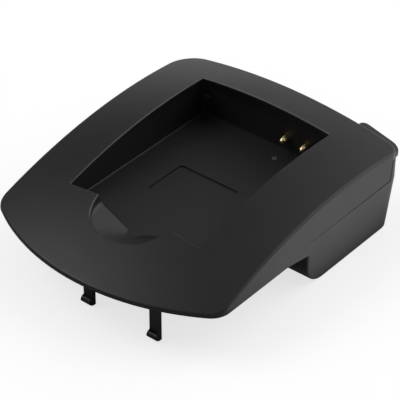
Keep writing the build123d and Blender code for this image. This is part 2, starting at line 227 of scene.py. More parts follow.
bpy.ops.mesh.primitive_plane_add(size=floor_size, location=(0, 0, -floor_drop))
floor = bpy.context.object
floor.name = "studio_floor"
paper = bpy.data.materials.new("white_paper")
paper.use_nodes = True
tree = paper.node_tree
tree.nodes.clear()
place = add_node(tree, "ShaderNodeTexCoord").outputs["Object"]
distance = add_vector(tree, "ABSOLUTE", add_vector(tree, "SUBTRACT", place, shade_centre))
sides = add_node(tree, "ShaderNodeSeparateXYZ", {0: distance}).outputs
fades = []
for axis, inner in zip("XY", shade_inner):
    fade = add_node(
        tree,
        "ShaderNodeMapRange",
        {"Value": sides[axis], "From Min": inner, "From Max": shade_outer},
        interpolation_type="SMOOTHSTEP",
    )
    fades.append(fade.outputs["Result"])
open_floor = add_math(tree, "MAXIMUM", add_math(tree, "MAXIMUM", *fades), shade_level)
rearward = add_node(tree, "ShaderNodeSeparateXYZ", {0: place}).outputs["Y"]
sweep = add_node(
    tree,
    "ShaderNodeMapRange",
    {"Value": rearward, "From Min": sweep_front, "From Max": sweep_rear, "To Max": sweep_top},
    interpolation_type="SMOOTHSTEP",
)
mirror_level = add_math(tree, "MULTIPLY", sweep.outputs["Result"], open_floor)
print("floor pattern with", len(tree.nodes), "nodes")

# %% [markdown]
# The Light Path node tells what kind of ray has hit the floor, and so which of the two glows it gets.

# %% Floor glow
ray = add_node(tree, "ShaderNodeLightPath").outputs
mirrored = add_math(tree, "ADD", ray["Is Glossy Ray"], ray["Is Transmission Ray"], clamp=True)
mirrored = add_math(tree, "MULTIPLY", mirrored, mirror_level)
glow = add_math(tree, "MULTIPLY", add_math(tree, "ADD", ray["Is Camera Ray"], mirrored), floor_glow)
matt = add_node(tree, "ShaderNodeBsdfDiffuse", {"Color": (floor_white, floor_white, floor_white, 1)})
shine = add_node(tree, "ShaderNodeEmission", {"Strength": glow})
white = add_node(tree, "ShaderNodeAddShader", {0: matt.outputs[0], 1: shine.outputs[0]})
clear = add_node(tree, "ShaderNodeBsdfTransparent")
below = add_node(tree, "ShaderNodeNewGeometry").outputs["Backfacing"]
surface = add_node(tree, "ShaderNodeMixShader", {0: below, 1: white.outputs[0], 2: clear.outputs[0]})
add_node(tree, "ShaderNodeOutputMaterial", {"Surface": surface.outputs[0]})
floor.data.materials.append(paper)
print("floor", floor_size, "m wide")

# %% [markdown]
# ## Moulded grain
#
# The steel mould of such a housing is spark-eroded, which leaves pits of a tenth or two of a millimetre,
# and every moulding copies them. The grain is too fine to see as dots, but it breaks up the gloss. The
# group makes the grain from fine noise and round cells, and also a slow mottle, because the gloss of a
# large moulding is never quite even. It gives only values, so each plastic can use them in its own way.

# %% Moulded grain group
def add_noise(tree, vector, scale, detail, roughness=0.5):
    """Add a noise texture, and return its value."""
    values = {"Vector": vector, "Scale": scale, "Detail": detail, "Roughness": roughness}
    return add_node(tree, "ShaderNodeTexNoise", values).outputs["Fac"]


grain_tree, grain_in, grain_out = new_tree(
    "moulded_grain",
    "ShaderNodeTree",
    inputs={"Vector": ("Vector",), "Float": ("Grain Scale", "Mottle Scale")},
    outputs={"Float": ("Height", "Mottle")},
)
pits = add_node(
    grain_tree, "ShaderNodeTexVoronoi", {"Vector": grain_in["Vector"], "Scale": grain_in["Grain Scale"]}
)
specks = add_noise(grain_tree, grain_in["Vector"], grain_in["Grain Scale"], detail=2.0, roughness=0.6)
mottle = add_noise(grain_tree, grain_in["Vector"], grain_in["Mottle Scale"], detail=3.0, roughness=0.55)
height = add_math(grain_tree, "ADD", pits.outputs["Distance"], specks)
half_height = add_math(grain_tree, "MULTIPLY", height, 0.5)
grain_tree.links.new(half_height, grain_out.inputs["Height"])
grain_tree.links.new(mottle, grain_out.inputs["Mottle"])
print("grain group with", len(grain_tree.nodes), "nodes")

# %% [markdown]
# ## A box mask
#
# Several finishes stop at a straight line: the smooth field in the pocket floor, the copper tracks on the
# circuit board, the tinned ends of the chip. A mask for a box does them all. It is 1 inside the box and
# fades to 0 over a narrow edge. The largest of the three distances to the box's sides tells on which side a
# point is.

# %% Box mask group
box_tree, box_in, box_out = new_tree(
    "box_mask",
    "ShaderNodeTree",
    inputs={"Vector": ("Vector", "Centre", "Half Size"), "Float": ("Edge",)},
    outputs={"Float": ("Mask",)},
)
span = add_vector(box_tree, "ABSOLUTE", add_vector(box_tree, "SUBTRACT", box_in["Vector"], box_in["Centre"]))
beyond = add_vector(box_tree, "SUBTRACT", span, box_in["Half Size"])
beyond = add_node(box_tree, "ShaderNodeSeparateXYZ", {0: beyond}).outputs
farthest = add_math(box_tree, "MAXIMUM", beyond["X"], beyond["Y"])
farthest = add_math(box_tree, "MAXIMUM", farthest, beyond["Z"])
box_tree.links.new(soft_inside(box_tree, farthest, box_in["Edge"]), box_out.inputs["Mask"])
print("box mask group with", len(box_tree.nodes), "nodes")

# %% [markdown]
# ## Helpers for the finishes
#
# Every finish starts in the same way: a material, its Principled shader, and the Object coordinates, which
# stay with the piece when it moves. More helpers blend two colours, spread a value over a range, place the
# box mask, and add a bump.

# %% Helpers for finishes
def new_material(name):
    """Make a material, and return it with its tree, its shader and the Object coordinates."""
    material = bpy.data.materials.new(name)
    material.use_nodes = True
    tree = material.node_tree
    position = add_node(tree, "ShaderNodeTexCoord").outputs["Object"]
    return material, tree, tree.nodes["Principled BSDF"], position


def mix_colour(tree, share, first, second):
    """Blend two colours, and return the result."""
    node = add_node(tree, "ShaderNodeMix", {0: share, 6: first, 7: second}, data_type="RGBA")
    return node.outputs[2]


def spread_value(tree, value, low, high):
    """Spread a value from 0..1 over low..high."""
    node = add_node(tree, "ShaderNodeMapRange", {"Value": value, "To Min": low, "To Max": high})
    return node.outputs["Result"]


def box_mask(tree, position, centre, half_size, edge):
    """Place the box mask group, and return its mask."""
    node = add_node(
        tree,
        "ShaderNodeGroup",
        {"Vector": position, "Centre": centre, "Half Size": half_size, "Edge": edge},
        node_tree=box_tree,
    )
    return node.outputs["Mask"]


def add_bump(tree, shader, height, strength, distance):
    """Bend the shader's normals by a height."""
    bump = add_node(tree, "ShaderNodeBump", {"Height": height, "Strength": strength, "Distance": distance})
    tree.links.new(bump.outputs["Normal"], shader.inputs["Normal"])


print("finish helpers ready")

# %% [markdown]
# ## Painted highlights on the cover
#
# The pocket's rim on the left and at the back, the left brim of the finger scoop and the tops of the
# polarity signs are painted a paler grey: a painted highlight where thin edges catch the light. A mask from
# the Pointiness of the mesh would depend on how fine the mesh is. Here the places are known, so each gets
# its own mask.
#
# The scoop's brim is a cone that opens upwards, so its radius grows with the height. Its painted highlight is
# a ring on that cone, and a box mask keeps only the left part, where the edge faces the light.

# %% Painted highlight on the brim of the scoop
rim_width = 0.3 * mm
rim_edge = 0.1 * mm
rim_level = 18 * mm
rim_reach = 10 * mm
scoop_centre = (0, -18.925 * mm, 0)
scoop_brim = 16.65 * mm
scoop_radius = 9.3 * mm
scoop_flare = 0.3
# only the left part of the brim gets the painted highlight
scoop_left = ((-11.5 * mm, -21.5 * mm, rim_level), (4.0 * mm, 5.0 * mm, rim_reach))
scoop_fade = 1.5 * mm
flat_xy = (1, 1, 0)


def scoop_highlight_mask(tree, position):
    """A mask for the painted highlight on the left part of the scoop's brim."""
    offset = add_vector(tree, "SUBTRACT", position, scoop_centre)
    reach = add_vector(tree, "LENGTH", add_vector(tree, "MULTIPLY", offset, flat_xy))
    height = add_node(tree, "ShaderNodeSeparateXYZ", {0: position}).outputs["Z"]
    flare = add_math(tree, "MULTIPLY", add_math(tree, "SUBTRACT", height, scoop_brim), scoop_flare)
    radius = add_math(tree, "ADD", flare, scoop_radius + rim_width / 2)
    off_middle = add_math(tree, "ABSOLUTE", add_math(tree, "SUBTRACT", reach, radius))
    ring = soft_inside(tree, add_math(tree, "SUBTRACT", off_middle, rim_width / 2), rim_edge)
    return add_math(tree, "MULTIPLY", ring, box_mask(tree, position, *scoop_left, scoop_fade))


print("scoop opens by", scoop_flare, "mm in a millimetre of height")

# %% [markdown]
# The painted highlight on the pocket's rim is a narrow band along its left and back walls, but only where it
# comes up to the sphere of the crown. On the left it is weaker than at the back.

# %% Painted highlight on the rim of the pocket
pocket_middle = 4.0 * mm
pocket_half_width = 18.3 * mm
pocket_half_length = 23.0 * mm
rim_left = ((-18.36 * mm, pocket_middle, rim_level), (rim_width / 2, pocket_half_length, rim_reach))
rim_back = ((0, 27.04 * mm, rim_level), (pocket_half_width, rim_width / 2, rim_reach))
# share of the painted rim highlight on the left, where it is weaker than at the back
left_highlight_share = 0.57
crown_radius = 133.56 * mm
crown_top = 24.15 * mm
crown_centre = (0, 17.225 * mm, crown_top - crown_radius)


def rim_highlight_mask(tree, position):
    """A mask for the painted highlight on the rims on the left and at the back, just under the crown's
    sphere.
    """
    left = box_mask(tree, position, *rim_left, rim_edge)
    left = add_math(tree, "MAXIMUM", left, scoop_highlight_mask(tree, position))
    left = add_math(tree, "MULTIPLY", left, left_highlight_share)
    back = box_mask(tree, position, *rim_back, rim_edge)
    from_centre = add_vector(tree, "DISTANCE", position, crown_centre)
    depth = add_math(tree, "SUBTRACT", crown_radius - rim_width, from_centre)
    near_top = soft_inside(tree, depth, rim_edge)
    return add_math(tree, "MULTIPLY", add_math(tree, "MAXIMUM", left, back), near_top)


print("rim is", rim_width / mm, "mm wide")

# %% [markdown]
# The signs stand in front of the pins, and only their tops get a painted highlight. So their mask is a flat
# box that starts above the floor of the pocket.

# %% Painted highlight on the tops of the signs
pocket_floor = Vector(next(m["pos_m"] for m in frame["record"]["mounts"] if m["name"] == "battery_floor"))
sign_gap = 4.3 * mm
sign_height = 0.14 * mm
left_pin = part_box("contact_plunger_positive")[0]
right_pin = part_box("contact_plunger_negative")[1]
# box of the painted highlight on the tops of the signs
# centre, half size, width of the edge
sign_highlight_box = (
    ((left_pin.x + right_pin.x) / 2, left_pin.y - sign_gap / 2, pocket_floor.z + sign_height),
    (right_pin.x - left_pin.x, 1.0 * mm, sign_height / 2),
    0.02 * mm,
)
print("pocket floor is", round(pocket_floor.z / mm, 2), "mm above the table")

# %% [markdown]
# ## The black plastic
#
# The cover and the lower housing are moulded from the same black plastic. Its colour is nearly nothing, so
# the gloss does the work: a roughness near one half spreads the lamps into soft gradients. The housing has
# a coarser grain, because it is the underside. Only the cover has the pocket, with its painted highlights.
# The field in the pocket floor was cut by a separate insert in the mould, which is a little smoother. The
# rest of the pocket is a little rougher than the crown, and the corner along its back wall is the roughest.

# %% Black plastics
black_deep = (0.0042, 0.0042, 0.0044, 1)
black_pale = (0.0066, 0.0066, 0.0068, 1)
# paler grey painted on the rims, the scoop's brim and the sign tops as a highlight
highlight_grey = (0.105, 0.105, 0.106, 1)
mottle_scale = 110
field_box = ((0, 1.275 * mm, pocket_floor.z), (8.5 * mm, 6.0 * mm, 1.0 * mm), 0.2 * mm)
field_grain_loss = 0.5
pocket_box = ((0, pocket_middle, 16.5 * mm), (pocket_half_width, pocket_half_length, 4.0 * mm), 0.4 * mm)
corner_height = pocket_floor.z + 0.15 * mm
corner_box = ((0, 26.8 * mm, corner_height), (pocket_half_width, 0.5 * mm, 0.35 * mm), 0.2 * mm)
rougher = ((field_box, -0.03), (pocket_box, 0.15), (corner_box, 0.4))


def black_plastic(name, grain_scale, roughness_low, roughness_high, has_pocket):
    """A moulded black plastic with its grain and mottle, and the pocket's painted highlights and rough
    places.
    """
    material, tree, shader, position = new_material(name)
    grain = add_node(
        tree,
        "ShaderNodeGroup",
        {"Vector": position, "Grain Scale": grain_scale, "Mottle Scale": mottle_scale},
        node_tree=grain_tree,
    ).outputs
    height = grain["Height"]
    colour = mix_colour(tree, grain["Mottle"], black_deep, black_pale)
    roughness = spread_value(tree, grain["Mottle"], roughness_low, roughness_high)
    if has_pocket:
        # painted highlights: the paler grey on the rims, the scoop's brim and the sign tops
        painted_highlight = add_math(tree, "MAXIMUM", rim_highlight_mask(tree, position), box_mask(tree, position, *sign_highlight_box))
        colour = mix_colour(tree, painted_highlight, colour, highlight_grey)
        for box, change in rougher:
            extra = add_math(tree, "MULTIPLY", box_mask(tree, position, *box), change)
            roughness = add_math(tree, "ADD", roughness, extra)
        loss = add_math(tree, "MULTIPLY", box_mask(tree, position, *field_box), field_grain_loss)
        height = add_math(tree, "MULTIPLY", height, add_math(tree, "SUBTRACT", 1.0, loss))
    tree.links.new(colour, shader.inputs["Base Color"])
    tree.links.new(roughness, shader.inputs["Roughness"])
    add_bump(tree, shader, height, strength=0.25, distance=0.02 * mm)
    return material


finishes = {
    "cover_plastic": black_plastic("black_cover_plastic", 5200, 0.37, 0.47, has_pocket=True),
    "housing_plastic": black_plastic("black_housing_plastic", 4200, 0.40, 0.50, has_pocket=False),
}
print("plastics:", ", ".join(finishes))

# %% [markdown]
# ## Marks of the tools on metal
#
# Every metal piece keeps the lines of the tool that made it. A turned pin has fine rings round its axis,
# and a rolled strip has long lines. Both are noise that is stretched along the lines: multiplying the
# coordinates by a small number along a line, and a large one across it, does the stretching.

# %% Tool marks group
marks_tree, marks_in, marks_out = new_tree(
    "tool_marks",
    "ShaderNodeTree",
    inputs={"Vector": ("Vector", "Across")},
    outputs={"Float": ("Marks", "Stain")},
)
stretched = add_vector(marks_tree, "MULTIPLY", marks_in["Vector"], marks_in["Across"])
lines = add_noise(marks_tree, stretched, scale=1.0, detail=3.0)
stain = add_noise(marks_tree, marks_in["Vector"], scale=900.0, detail=2.0)
marks_tree.links.new(lines, marks_out.inputs["Marks"])
marks_tree.links.new(stain, marks_out.inputs["Stain"])
print("tool marks group with", len(marks_tree.nodes), "nodes")

# %% [markdown]
# ## The metals
#
# The pins are brass with a gold plating, worn bright by each battery. Their sleeves are given a very dark,
# dull brown gold, so that the mouth of each sleeve is nearly black round its pin. The strips that feed the
# cradle are rolled brass with a thin flash of gold. The screws are zinc plated, which is a cool grey with a
# blotchy gloss, and the springs are drawn steel wire.

# %% Metals
def tooled_metal(name, dull, bright, across, roughness_low, roughness_high, mark_depth):
    """A metal with tool marks: two colours for its stains, and a roughness that follows the marks."""
    material, tree, shader, position = new_material(name)
    marks = add_node(
        tree, "ShaderNodeGroup", {"Vector": position, "Across": across}, node_tree=marks_tree
    )
    colour = mix_colour(tree, marks.outputs["Stain"], (*dull, 1), (*bright, 1))
    tree.links.new(colour, shader.inputs["Base Color"])
    shader.inputs["Metallic"].default_value = 1
    roughness = spread_value(tree, marks.outputs["Marks"], roughness_low, roughness_high)
    tree.links.new(roughness, shader.inputs["Roughness"])
    add_bump(tree, shader, marks.outputs["Marks"], strength=0.2, distance=mark_depth)
    return material


# how fine the marks are along X, Y and Z
turned_y = (300, 12000, 300)
rolled = (9000, 150, 150)
turned_z = (500, 500, 9000)
drawn = (4000, 4000, 4000)
metals = (
    # slot, name, dull and bright colour, marks, low and high roughness, depth of the marks in mm
    ("pin_gold", "gold_pin", (0.88, 0.66, 0.34), (0.98, 0.84, 0.55), turned_y, 0.14, 0.24, 0.002),
    # the sleeves: a very dark, dull brown gold, nearly black round the pins
    ("sleeve_gold", "dull_gold_sleeve", (0.09, 0.06, 0.025), (0.16, 0.11, 0.05), turned_y, 0.48, 0.62, 0.003),
    ("terminal_brass", "gold_flash_brass", (0.74, 0.53, 0.24), (0.90, 0.70, 0.36), rolled, 0.22, 0.45, 0.003),
    ("screw_steel", "zinc_plated_steel", (0.46, 0.48, 0.50), (0.66, 0.67, 0.68), turned_z, 0.28, 0.50, 0.004),
    ("spring_steel", "drawn_spring_steel", (0.42, 0.42, 0.42), (0.62, 0.62, 0.61), drawn, 0.25, 0.45, 0.002),
)
for slot, *look, depth in metals:
    finishes[slot] = tooled_metal(*look, depth * mm)
print("metals:", ", ".join(row[0] for row in metals))

# %% [markdown]
# ## The circuit board and its chip
#
# The board is a green glass laminate. Round tinned rings surround the two sleeves, and tracks lead from
# them to the strips. A track lies under the green lacquer, so it is a paler green and stands up slightly.
# Each mask is drawn from the place of the real pieces in the CAD model, so the pattern meets them. Paint
# for such a flat pattern could also be an image, but masks stay sharp at any distance.

# %% Masks for the board
flat_xz = (1, 0, 1)


def disc_mask(tree, position, centre, radius, edge):
    """A mask that is 1 inside a round spot on the board, seen along Y."""
    flat = add_vector(tree, "MULTIPLY", add_vector(tree, "SUBTRACT", position, centre), flat_xz)
    return soft_inside(tree, add_math(tree, "SUBTRACT", add_vector(tree, "LENGTH", flat), radius), edge)


def middle(node):
    """The middle of a CAD node's box."""
    low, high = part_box(node)
    return (low + high) / 2


pad_radius = 2.1 * mm
track_half = 0.5 * mm
board_reach = 2 * mm
mask_edge = 0.06 * mm
board_middle = middle("contact_board")
poles = ("positive", "negative")

laminate, tree, shader, position = new_material("green_board_laminate")
pads = 0.0
tracks = 0.0
for pole in poles:
    sleeve = middle(f"contact_barrel_{pole}")
    strip = middle(f"base_terminal_{pole}")
    strip_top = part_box(f"base_terminal_{pole}")[1].z
    pads = add_math(tree, "MAXIMUM", pads, disc_mask(tree, position, sleeve, pad_radius, mask_edge))
    drop_centre = (sleeve.x, board_middle.y, (sleeve.z + strip_top) / 2)
    drop_half = (track_half, board_reach, (sleeve.z - strip_top) / 2)
    run_centre = ((sleeve.x + strip.x) / 2, board_middle.y, strip_top)
    run_half = (abs(sleeve.x - strip.x) / 2 + track_half, board_reach, track_half)
    for centre, half in ((drop_centre, drop_half), (run_centre, run_half)):
        tracks = add_math(tree, "MAXIMUM", tracks, box_mask(tree, position, centre, half, mask_edge))
print("board masks with", len(tree.nodes), "nodes")

# %% [markdown]
# The masks then choose the colour and the metal, and lift the tracks and the rings a little.

# %% Board finish
lacquer_deep = (0.010, 0.065, 0.022, 1)
lacquer_pale = (0.022, 0.110, 0.040, 1)
track_green = (0.045, 0.170, 0.055, 1)
tin_grey = (0.62, 0.62, 0.60, 1)
weave = add_noise(tree, position, scale=1600.0, detail=2.0)
lacquer = mix_colour(tree, weave, lacquer_deep, lacquer_pale)
lacquer = mix_colour(tree, tracks, lacquer, track_green)
tree.links.new(mix_colour(tree, pads, lacquer, tin_grey), shader.inputs["Base Color"])
tree.links.new(pads, shader.inputs["Metallic"])
tree.links.new(spread_value(tree, weave, low=0.25, high=0.42), shader.inputs["Roughness"])
relief = add_math(tree, "ADD", add_math(tree, "MAXIMUM", tracks, pads), weave)
add_bump(tree, shader, relief, strength=0.3, distance=0.03 * mm)
finishes["board_laminate"] = laminate
print("board finish with", len(tree.nodes), "nodes")

# %% [markdown]
# The chip on the board is a small resistor that tells the base which battery lies in the cradle. Its body
# is black, and its two ends are dipped in tin. The ends are the part of the piece outside a box round its
# middle.

# %% Chip finish
chip_low, chip_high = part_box("coding_resistor")
chip_middle = (chip_low + chip_high) / 2
chip_body_share = 0.62
chip_reach = 2 * mm
chip_edge = 0.05 * mm
chip_deep = (0.012, 0.012, 0.013, 1)
chip_pale = (0.030, 0.030, 0.032, 1)
chip_tin = (0.66, 0.66, 0.65, 1)
chip_black, tree, shader, position = new_material("chip_with_tinned_ends")
chip_half = ((chip_high.x - chip_low.x) / 2 * chip_body_share, chip_reach, chip_reach)
body = box_mask(tree, position, chip_middle, chip_half, chip_edge)
speckle = add_noise(tree, position, scale=5000.0, detail=2.0)
black = mix_colour(tree, speckle, chip_deep, chip_pale)
tree.links.new(mix_colour(tree, body, chip_tin, black), shader.inputs["Base Color"])
tree.links.new(add_math(tree, "SUBTRACT", 1.0, body), shader.inputs["Metallic"])
tree.links.new(spread_value(tree, speckle, low=0.30, high=0.48), shader.inputs["Roughness"])
add_bump(tree, shader, speckle, strength=0.2, distance=0.01 * mm)
finishes["chip_black"] = chip_black
print("chip body is", round(2 * chip_half[0] / mm, 2), "mm long")

# %% [markdown]
# ## Finishes on the CAD pieces
#
# The record lists which material slot each CAD piece belongs to, so one loop dresses them all. The pieces
# keep their meshes: only the material in their slot changes.

# %% Dress the CAD pieces
for subpart in frame["record"]["subparts"]:
    piece = frame["nodes"][subpart["node"]]
    piece.data.materials.clear()
    piece.data.materials.append(finishes[subpart["material_slot"]])

# %% [markdown]
# ## Running a Geometry Nodes tree once
#
# The screws, the springs, the pins and the moulding marks each follow a rule, so Geometry Nodes make them.
# The rule stays readable in the tree, and its sizes are inputs. For the finished model the result has to be
# a plain mesh, so `bake_tree` puts the tree on an empty object, sets its inputs by their identifiers, reads
# the evaluated mesh and throws the maker away. Three shapes below are round about Z, so `reshape` widens a
# mesh about that axis, and `geometry_tree` and `finish_tree` start and end a tree in the same way each
# time.

# %% Helpers for geometry
def bake_tree(name, tree, values):
    """Evaluate a Geometry Nodes tree with these inputs, and return a mesh object at the origin."""
    maker = bpy.data.objects.new(name + "_maker", bpy.data.meshes.new(name + "_maker"))
    scene.collection.objects.link(maker)
    modifier = maker.modifiers.new("rule", "NODES")
    modifier.node_group = tree
    for item in tree.interface.items_tree:
        if item.in_out == "INPUT":
            modifier[item.identifier] = values[item.name]
    depsgraph = bpy.context.evaluated_depsgraph_get()
    mesh = bpy.data.meshes.new_from_object(maker.evaluated_get(depsgraph), depsgraph=depsgraph)
    maker.modifiers.remove(modifier)
    bpy.data.objects.remove(maker)
    piece = bpy.data.objects.new(name, mesh)
    scene.collection.objects.link(piece)
    print(name, len(mesh.polygons), "faces")
    return piece


def geometry_tree(name, floats, vectors=("Place",)):
    """Start a Geometry Nodes tree that takes these values and a finish."""
    inputs = {"Float": floats, "Vector": vectors, "Material": ("Finish",)}
    return new_tree(name, "GeometryNodeTree", inputs, outputs={"Geometry": ("Geometry",)})


def point_axes(tree):
    """The X, Y and Z of each point."""
    point = add_node(tree, "GeometryNodeInputPosition").outputs[0]
    return add_node(tree, "ShaderNodeSeparateXYZ", {0: point}).outputs


def reshape(tree, mesh, across, widen, level):
    """Widen a mesh about the Z axis, set the height of each point, and return the geometry."""
    x = add_math(tree, "MULTIPLY", across["X"], widen)
    y = add_math(tree, "MULTIPLY", across["Y"], widen)
    place = add_node(tree, "ShaderNodeCombineXYZ", {"X": x, "Y": y, "Z": level})
    moved = add_node(tree, "GeometryNodeSetPosition", {"Geometry": mesh, "Position": place.outputs[0]})
    return moved.outputs[0]


def finish_tree(tree, geometry, material, output, sharp_angle):
    """End a tree: realize its instances, shade it smooth but for sharp edges, and set its material."""
    solid = add_node(tree, "GeometryNodeRealizeInstances", {"Geometry": geometry})
    smooth = add_node(tree, "GeometryNodeSetShadeSmooth", {0: solid.outputs[0], "Shade Smooth": True})
    angle = add_node(tree, "GeometryNodeInputMeshEdgeAngle").outputs["Unsigned Angle"]
    is_sharp = add_node(tree, "FunctionNodeCompare", {0: angle, 1: sharp_angle}, operation="GREATER_THAN")
    edges = add_node(
        tree,
        "GeometryNodeSetShadeSmooth",
        {0: smooth.outputs[0], "Selection": is_sharp.outputs[0], "Shade Smooth": False},
        domain="EDGE",
    )
    last = add_node(tree, "GeometryNodeSetMaterial", {"Geometry": edges.outputs[0], "Material": material})
    tree.links.new(last.outputs[0], output.inputs["Geometry"])


print("geometry helpers ready")

# %% [markdown]
# ## A rounded disc
#
# A screw head and an ejector mark are both flat discs with soft edges. A sphere becomes one if the height
# and the radius of each point are raised to a small power, which pushes the points out towards the corner
# of a square: a superellipse. The disc is its own small tree, and the two trees below use it.

# %% Rounded disc tree
disc_tree, disc_in, disc_out = new_tree(
    "rounded_disc",
    "GeometryNodeTree",
    inputs={"Float": ("Diameter", "Height", "Softness")},
    outputs={"Geometry": ("Geometry",)},
)
ball = add_node(disc_tree, "GeometryNodeMeshUVSphere", {"Segments": 40, "Rings": 20, "Radius": 1.0})
across = point_axes(disc_tree)
squares = [add_math(disc_tree, "MULTIPLY", across[axis], across[axis]) for axis in "XY"]
square_sum = add_math(disc_tree, "ADD", *squares)
least_reach = 0.0001
reach = add_math(disc_tree, "MAXIMUM", add_math(disc_tree, "SQRT", square_sum), least_reach)
push = add_math(disc_tree, "POWER", reach, add_math(disc_tree, "SUBTRACT", disc_in["Softness"], 1.0))
widen = add_math(disc_tree, "MULTIPLY", push, add_math(disc_tree, "MULTIPLY", disc_in["Diameter"], 0.5))
level = add_math(disc_tree, "POWER", add_math(disc_tree, "ABSOLUTE", across["Z"]), disc_in["Softness"])
level = add_math(disc_tree, "MULTIPLY", level, add_math(disc_tree, "SIGN", across["Z"]))
level = add_math(disc_tree, "MULTIPLY", level, add_math(disc_tree, "MULTIPLY", disc_in["Height"], 0.5))
disc = reshape(disc_tree, ball.outputs["Mesh"], across, widen, level)
disc_tree.links.new(disc, disc_out.inputs["Geometry"])
print("disc tree with", len(disc_tree.nodes), "nodes")

# %% [markdown]
# ## The screws
#
# Two small screws hold the housing to the posts of the cover. They are seen only from below. The CAD model
# has plain heads and shanks, because a thread is of no use for collision. Here the shank is a cylinder with
# many rings, and each point moves out by a sharpened wave of its height less its angle: a wave that climbs
# once in a turn is a thread. The cross in the head is cut with two blocks.

# %% Screw tree: the threaded shank
screw_tree, screw_in, screw_out = geometry_tree(
    "cross_head_screws",
    ("Head Diameter", "Head Height", "Thread Diameter", "Core Diameter", "Pitch", "Length", "Spacing"),
    vectors=("Cross Size", "Place"),
)
rod = add_node(
    screw_tree,
    "GeometryNodeMeshCylinder",
    {"Vertices": 24, "Side Segments": 130, "Radius": 1.0, "Depth": screw_in["Length"]},
)
across = point_axes(screw_tree)
angle = add_math(screw_tree, "ARCTAN2", across["Y"], across["X"])
turn_share = add_math(screw_tree, "DIVIDE", angle, 2 * math.pi)
climb = add_math(screw_tree, "DIVIDE", across["Z"], screw_in["Pitch"])
climb = add_math(screw_tree, "SUBTRACT", climb, turn_share)
wave = add_math(screw_tree, "MULTIPLY", add_math(screw_tree, "PINGPONG", climb, 0.5), 2.0)
crest_sharpness = 2.5
crest = add_math(screw_tree, "POWER", wave, crest_sharpness)
half_length = add_math(screw_tree, "MULTIPLY", screw_in["Length"], 0.5)
to_tip = add_math(screw_tree, "SUBTRACT", half_length, across["Z"])
tip_length = 1.4 * mm
tip_width_share = 0.35
narrow = add_math(screw_tree, "ADD", add_math(screw_tree, "DIVIDE", to_tip, tip_length), tip_width_share)
narrow = add_math(screw_tree, "MINIMUM", narrow, 1.0)
depth = add_math(screw_tree, "SUBTRACT", screw_in["Thread Diameter"], screw_in["Core Diameter"])
width = add_math(screw_tree, "MULTIPLY", depth, crest)
width = add_math(screw_tree, "ADD", screw_in["Core Diameter"], width)
radius = add_math(screw_tree, "MULTIPLY", add_math(screw_tree, "MULTIPLY", width, 0.5), narrow)
level = add_math(screw_tree, "ADD", across["Z"], half_length)
shank = reshape(screw_tree, rod.outputs["Mesh"], across, radius, level)
print("screw tree so far", len(screw_tree.nodes), "nodes")

# %% [markdown]
# The head hangs below the shank, because the screw is driven from underneath. The two blocks are centred on
# its lower face, so half of each is in the head and leaves the cross. One arm is a little shallower than
# the other, because a Boolean works badly on two faces in one plane, and Merge by Distance then joins the
# points that it leaves almost in one place.

# %% Screw tree: the head, the cross and the pair
head = add_node(
    screw_tree,
    "GeometryNodeGroup",
    {"Diameter": screw_in["Head Diameter"], "Height": screw_in["Head Height"], "Softness": 0.4},
    node_tree=disc_tree,
)
half_head = add_math(screw_tree, "MULTIPLY", screw_in["Head Height"], -0.5)
head_place = add_node(screw_tree, "ShaderNodeCombineXYZ", {"Z": half_head})
hung = add_node(
    screw_tree, "GeometryNodeTransform", {"Geometry": head.outputs[0], "Translation": head_place.outputs[0]}
)
face_level = add_math(screw_tree, "MULTIPLY", screw_in["Head Height"], -1.0)
face_place = add_node(screw_tree, "ShaderNodeCombineXYZ", {"Z": face_level})
block = add_node(screw_tree, "GeometryNodeMeshCube", {"Size": screw_in["Cross Size"]})
shallow_share = 0.96
cross = []
for turn, depth_share in ((0, 1.0), (math.pi / 2, shallow_share)):
    arm = add_node(
        screw_tree,
        "GeometryNodeTransform",
        {
            "Geometry": block.outputs["Mesh"],
            "Translation": face_place.outputs[0],
            "Rotation": (0, 0, turn),
            "Scale": (1, 1, depth_share),
        },
    )
    cross.append(arm.outputs[0])
cut = add_node(screw_tree, "GeometryNodeMeshBoolean", {"Mesh 1": hung.outputs[0]}, operation="DIFFERENCE")
for arm in cross:
    screw_tree.links.new(arm, cut.inputs["Mesh 2"])
merge_distance = 0.002 * mm
clean = add_node(
    screw_tree, "GeometryNodeMergeByDistance", {"Geometry": cut.outputs["Mesh"], "Distance": merge_distance}
)
whole = add_node(screw_tree, "GeometryNodeJoinGeometry")
for piece in (shank, clean.outputs[0]):
    screw_tree.links.new(piece, whole.inputs[0])
step = add_node(screw_tree, "ShaderNodeCombineXYZ", {"X": screw_in["Spacing"]})
row = add_node(
    screw_tree,
    "GeometryNodeMeshLine",
    {"Count": 2, "Start Location": screw_in["Place"], "Offset": step.outputs[0]},
)
pair = add_node(
    screw_tree, "GeometryNodeInstanceOnPoints", {"Points": row.outputs[0], "Instance": whole.outputs[0]}
)
finish_tree(screw_tree, pair.outputs[0], screw_in["Finish"], screw_out, sharp_angle=math.radians(40))
print("screw tree with", len(screw_tree.nodes), "nodes")

# %% [markdown]
# The sizes come from the CAD screws: their box gives the length, the place and the spacing. The thread
# stays inside the clearance hole of the post.

# %% Make the screws
head_diameter = 4.6 * mm
head_height = 1.7 * mm
screws_low, screws_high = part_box("housing_screws")
screws = bake_tree(
    "cross_head_screws",
    screw_tree,
    {
        "Head Diameter": head_diameter,
        "Head Height": head_height,
        "Thread Diameter": 2.6 * mm,
        "Core Diameter": 2.0 * mm,
        "Pitch": 0.9 * mm,
        "Length": screws_high.z - screws_low.z - head_height,
        "Cross Size": (2.6 * mm, 0.55 * mm, 2.0 * mm),
        "Spacing": screws_high.x - screws_low.x - head_diameter,
        "Place": (
            screws_low.x + head_diameter / 2,
            (screws_low.y + screws_high.y) / 2,
            screws_low.z + head_height,
        ),
        "Finish": finishes["screw_steel"],
    },
)
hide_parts("housing_screws")
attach(screws, "cradle")

